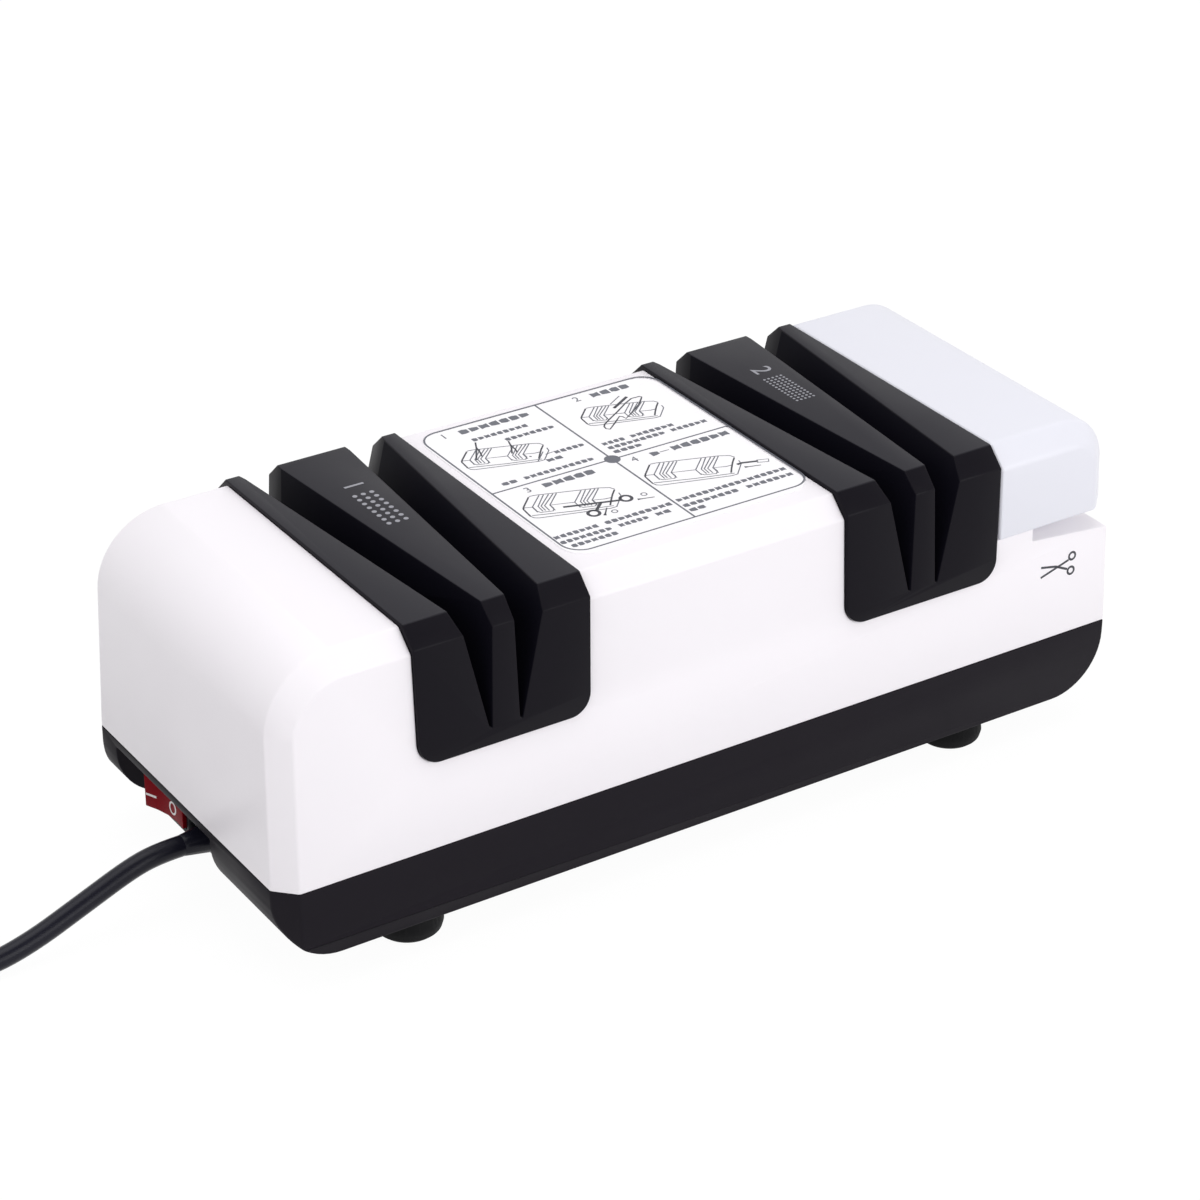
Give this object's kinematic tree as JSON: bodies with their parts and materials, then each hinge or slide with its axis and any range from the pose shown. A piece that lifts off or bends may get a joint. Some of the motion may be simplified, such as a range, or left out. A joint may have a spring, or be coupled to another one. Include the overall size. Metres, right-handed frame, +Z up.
{
  "type": "electric knife sharpener",
  "caption": "Mains electric knife sharpener: white rounded housing on a dark base tray, black slotted guides for coarse and fine grinding, and a capped scissors station.",
  "frame": {"origin": "on the table under the middle of the housing, cord left out", "axes": "+X along the housing from the switch end to the scissors end, +Y from the front face to the back, +Z up"},
  "size_m": [0.501, 0.149, 0.1],
  "materials": {
    "white_plastic": "satin moulded white",
    "cap_white": "satin moulded cool white",
    "dark_grey_plastic": "fine texture, dark grey",
    "black_plastic": "satin black",
    "printed_panel": "printed label, light",
    "rubber": "matte black rubber",
    "steel": "zinc plated",
    "bearing_steel": "ground",
    "lamination_steel": "stacked sheet",
    "copper": "enamelled copper wire",
    "die_cast": "as cast",
    "carbon": "graphite",
    "brass": "bright",
    "fan_plastic": "moulded",
    "coarse_abrasive": "coarse bonded grit",
    "fine_abrasive": "fine bonded grit",
    "red_plastic": "translucent red",
    "cord_black": "soft black PVC",
    "strap_black": "woven hook and loop",
    "lead_insulation": "smooth PVC, brown",
    "pin_metal": "nickel plated"
  },
  "bodies": {
    "housing": {"base_tray": "dark_grey_plastic", "upper_shell": "white_plastic", "end_cap": "cap_white", "coarse_guide": "black_plastic", "fine_guide": "black_plastic", "instruction_panel": "printed_panel", "foot_front_left": "rubber", "foot_front_right": "rubber", "foot_back_left": "rubber", "foot_back_right": "rubber", "foot_screws": "steel", "housing_screws": "steel", "mount_screws": "steel", "stator_core": "lamination_steel", "field_coils": "copper", "motor_bracket_left": "die_cast", "motor_bracket_right": "die_cast", "motor_bolts": "steel", "bearing_left": "bearing_steel", "bearing_right": "bearing_steel", "bearing_outer": "bearing_steel", "bearing_pedestal": "die_cast", "brush_holders": "black_plastic", "carbon_brushes": "carbon", "switch_body": "black_plastic", "switch_terminals": "brass", "cord_gland": "cord_black", "mains_cord": "cord_black", "cord_coil": "cord_black", "cord_tail": "cord_black", "cord_tie": "strap_black", "plug_body": "cord_black", "plug_pins": "pin_metal", "inner_cord": "cord_black", "cord_clamp": "black_plastic", "inner_leads": "lead_insulation"},
    "rotor": {"drive_shaft": "steel", "armature_core": "lamination_steel", "armature_winding": "copper", "commutator": "brass", "cooling_fan": "fan_plastic", "coarse_wheel": "coarse_abrasive", "fine_wheel": "fine_abrasive", "scissor_wheel": "fine_abrasive", "shaft_collars": "steel", "wheel_nuts": "brass"},
    "rocker": {"switch_rocker": "red_plastic"}
  },
  "joints": [
    {"name": "drive_spin", "type": "hinge", "parent": "housing", "child": "rotor", "pos_m": [0, 0, 0.05], "axis": [1, 0, 0], "continuous": true},
    {"name": "rocker_tilt", "type": "hinge", "parent": "housing", "child": "rocker", "pos_m": [-0.1304, 0.0235, 0.0204], "axis": [0, 0, -1], "range_deg": [0, 22]}
  ]
}
